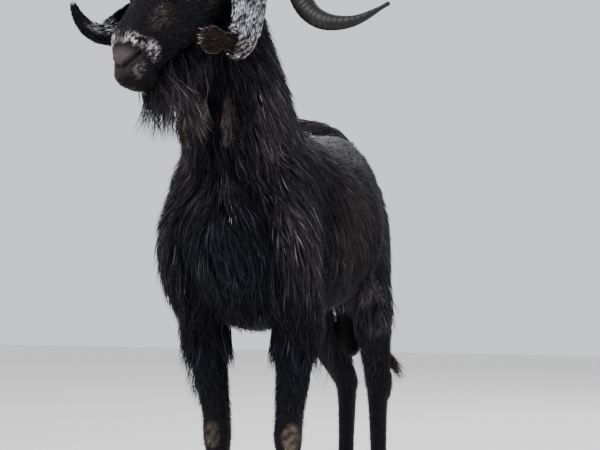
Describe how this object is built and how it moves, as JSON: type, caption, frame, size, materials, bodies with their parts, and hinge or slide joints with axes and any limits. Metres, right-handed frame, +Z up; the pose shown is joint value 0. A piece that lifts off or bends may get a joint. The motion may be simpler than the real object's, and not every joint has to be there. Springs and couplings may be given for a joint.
{
  "type": "anatolian black goat",
  "caption": "Standing life-size black goat buck with spreading curved horns, folded hanging ears, a beard and a long shaggy coat, as a still display model.",
  "frame": {"origin": "on the floor, under the middle of the box that holds the whole goat", "axes": "+X to the goat's left, -Y the way its chest points, +Z up"},
  "size_m": [0.5279, 1.0371, 1.127],
  "materials": {
    "coat": "long black hair with a cool sheen",
    "ear": "short hair speckled black and white",
    "skin": "dark bare skin, satin",
    "horn": "dark grey horn with fine rings",
    "hoof": "dark matt hoof horn",
    "eye": "wet amber eye with a dark slot pupil"
  },
  "bodies": {
    "root": {"head": "coat", "neck": "coat", "chest": "coat", "barrel": "coat", "rump": "coat", "tail": "coat", "sheath": "coat", "scrotum": "skin", "wattle_left": "coat", "wattle_right": "coat", "ear_left": "ear", "ear_right": "ear", "eye_left": "eye", "eye_right": "eye", "horn_left": "horn", "horn_right": "horn", "thigh_left": "coat", "thigh_right": "coat", "foreleg_left_upper": "coat", "foreleg_left_lower": "coat", "foreleg_right_upper": "coat", "foreleg_right_lower": "coat", "hindleg_left_upper": "coat", "hindleg_left_lower": "coat", "hindleg_right_upper": "coat", "hindleg_right_lower": "coat", "hoof_foreleg_left_outer": "hoof", "hoof_foreleg_left_inner": "hoof", "hoof_foreleg_right_outer": "hoof", "hoof_foreleg_right_inner": "hoof", "hoof_hindleg_left_outer": "hoof", "hoof_hindleg_left_inner": "hoof", "hoof_hindleg_right_outer": "hoof", "hoof_hindleg_right_inner": "hoof"}
  },
  "joints": []
}
